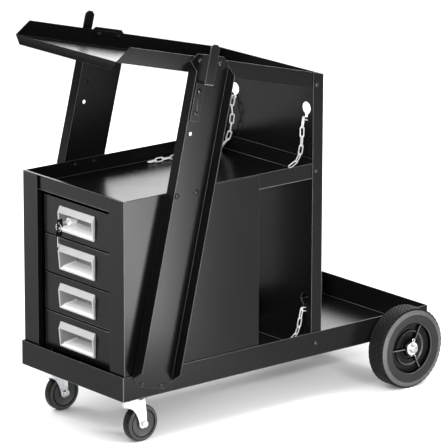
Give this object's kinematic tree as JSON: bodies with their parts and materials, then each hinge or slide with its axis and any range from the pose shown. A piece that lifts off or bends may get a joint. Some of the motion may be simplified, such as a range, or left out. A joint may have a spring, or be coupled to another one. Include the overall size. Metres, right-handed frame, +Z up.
{
  "type": "welding cart with drawers",
  "caption": "Sheet-steel welding cart with a sloped welder tray, open shelf, lockable drawers, chained gas-bottle tray, swivel casters and fixed rear wheels.",
  "frame": {"origin": "on the floor under the middle of the cart", "axes": "+Z up, +Y towards the fixed rear wheels and the gas-bottle tray, drawers open towards -Y, +X to the right of someone pushing from the rear"},
  "size_m": [0.48, 0.8702, 0.8582],
  "materials": {
    "black_paint": "semi-gloss black powder coat",
    "satin_chrome": "satin chrome plate",
    "zinc_plate": "bright zinc plate",
    "steel_rod": "turned steel bar",
    "key_black": "moulded black key head over a nickel blade",
    "tyre_rubber": "matte black rubber",
    "hub_black": "moulded black plastic",
    "caster_tread": "mid-grey rubber",
    "screw_black": "black oxide screw"
  },
  "bodies": {
    "cart": {"base_tray": "black_paint", "cabinet_side_right": "black_paint", "cabinet_side_left": "black_paint", "cabinet_back": "black_paint", "drawer_rack_right": "black_paint", "drawer_rack_left": "black_paint", "mid_shelf": "black_paint", "rear_panel": "black_paint", "top_tray": "black_paint", "strut_right": "black_paint", "strut_left": "black_paint", "cable_hook_right": "black_paint", "cable_hook_left": "black_paint", "axle_hanger_right": "black_paint", "axle_hanger_left": "black_paint", "axle_washer_right": "zinc_plate", "axle_washer_left": "zinc_plate", "split_pin_right": "zinc_plate", "split_pin_left": "zinc_plate", "caster_plate_right": "zinc_plate", "caster_plate_left": "zinc_plate", "upper_chain": "zinc_plate", "lower_chain": "zinc_plate", "rear_axle": "steel_rod", "strut_foot_bolt_front_right": "screw_black", "strut_foot_bolt_front_left": "screw_black", "strut_foot_bolt_rear_right": "screw_black", "strut_foot_bolt_rear_left": "screw_black", "tray_bolt_front_right": "screw_black", "tray_bolt_front_left": "screw_black", "tray_bolt_rear_right": "screw_black", "tray_bolt_rear_left": "screw_black"},
    "drawer_1": {"drawer_1_front": "black_paint", "drawer_1_box": "black_paint", "drawer_1_pull": "satin_chrome", "lock_housing": "satin_chrome"},
    "drawer_2": {"drawer_2_front": "black_paint", "drawer_2_box": "black_paint", "drawer_2_pull": "satin_chrome"},
    "drawer_3": {"drawer_3_front": "black_paint", "drawer_3_box": "black_paint", "drawer_3_pull": "satin_chrome"},
    "drawer_4": {"drawer_4_front": "black_paint", "drawer_4_box": "black_paint", "drawer_4_pull": "satin_chrome"},
    "lock_key": {"lock_barrel": "satin_chrome", "lock_cam": "zinc_plate", "key_in_lock": "key_black"},
    "key_bunch": {"key_ring": "zinc_plate", "spare_key": "key_black"},
    "caster_swivel_right": {"caster_fork_right": "zinc_plate", "caster_axle_right": "zinc_plate"},
    "caster_roller_right": {"caster_wheel_right": "caster_tread"},
    "rear_wheel_right": {"wheel_tyre_right": "tyre_rubber", "wheel_hub_right": "hub_black"},
    "caster_swivel_left": {"caster_fork_left": "zinc_plate", "caster_axle_left": "zinc_plate"},
    "caster_roller_left": {"caster_wheel_left": "caster_tread"},
    "rear_wheel_left": {"wheel_tyre_left": "tyre_rubber", "wheel_hub_left": "hub_black"}
  },
  "joints": [
    {"name": "drawer_1_slide", "type": "slide", "parent": "cart", "child": "drawer_1", "axis": [0, -1, 0], "range_m": [0, 0.28]},
    {"name": "drawer_2_slide", "type": "slide", "parent": "cart", "child": "drawer_2", "axis": [0, -1, 0], "range_m": [0, 0.28]},
    {"name": "drawer_3_slide", "type": "slide", "parent": "cart", "child": "drawer_3", "axis": [0, -1, 0], "range_m": [0, 0.28]},
    {"name": "drawer_4_slide", "type": "slide", "parent": "cart", "child": "drawer_4", "axis": [0, -1, 0], "range_m": [0, 0.28]},
    {"name": "lock_turn", "type": "hinge", "parent": "drawer_1", "child": "lock_key", "pos_m": [-0.0395, -0.39787, 0.449], "axis": [0, -1, 0], "range_deg": [0, 90]},
    {"name": "key_bunch_swing", "type": "hinge", "parent": "lock_key", "child": "key_bunch", "pos_m": [-0.0395, -0.42286, 0.449], "axis": [1, 0, 0], "range_deg": [-80, 10]},
    {"name": "caster_swivel_right_turn", "type": "hinge", "parent": "cart", "child": "caster_swivel_right", "pos_m": [0.1366, -0.37087, 0.09], "axis": [0, 0, 1], "continuous": true},
    {"name": "caster_roller_right_spin", "type": "hinge", "parent": "caster_swivel_right", "child": "caster_roller_right", "pos_m": [0.1366, -0.34636, 0.04], "axis": [1, 0, 0], "continuous": true},
    {"name": "rear_wheel_right_spin", "type": "hinge", "parent": "cart", "child": "rear_wheel_right", "pos_m": [0.20575, 0.34264, 0.09], "axis": [1, 0, 0], "continuous": true},
    {"name": "caster_swivel_left_turn", "type": "hinge", "parent": "cart", "child": "caster_swivel_left", "pos_m": [-0.1366, -0.37087, 0.09], "axis": [0, 0, 1], "continuous": true},
    {"name": "caster_roller_left_spin", "type": "hinge", "parent": "caster_swivel_left", "child": "caster_roller_left", "pos_m": [-0.1366, -0.34636, 0.04], "axis": [1, 0, 0], "continuous": true},
    {"name": "rear_wheel_left_spin", "type": "hinge", "parent": "cart", "child": "rear_wheel_left", "pos_m": [-0.20575, 0.34264, 0.09], "axis": [1, 0, 0], "continuous": true}
  ]
}
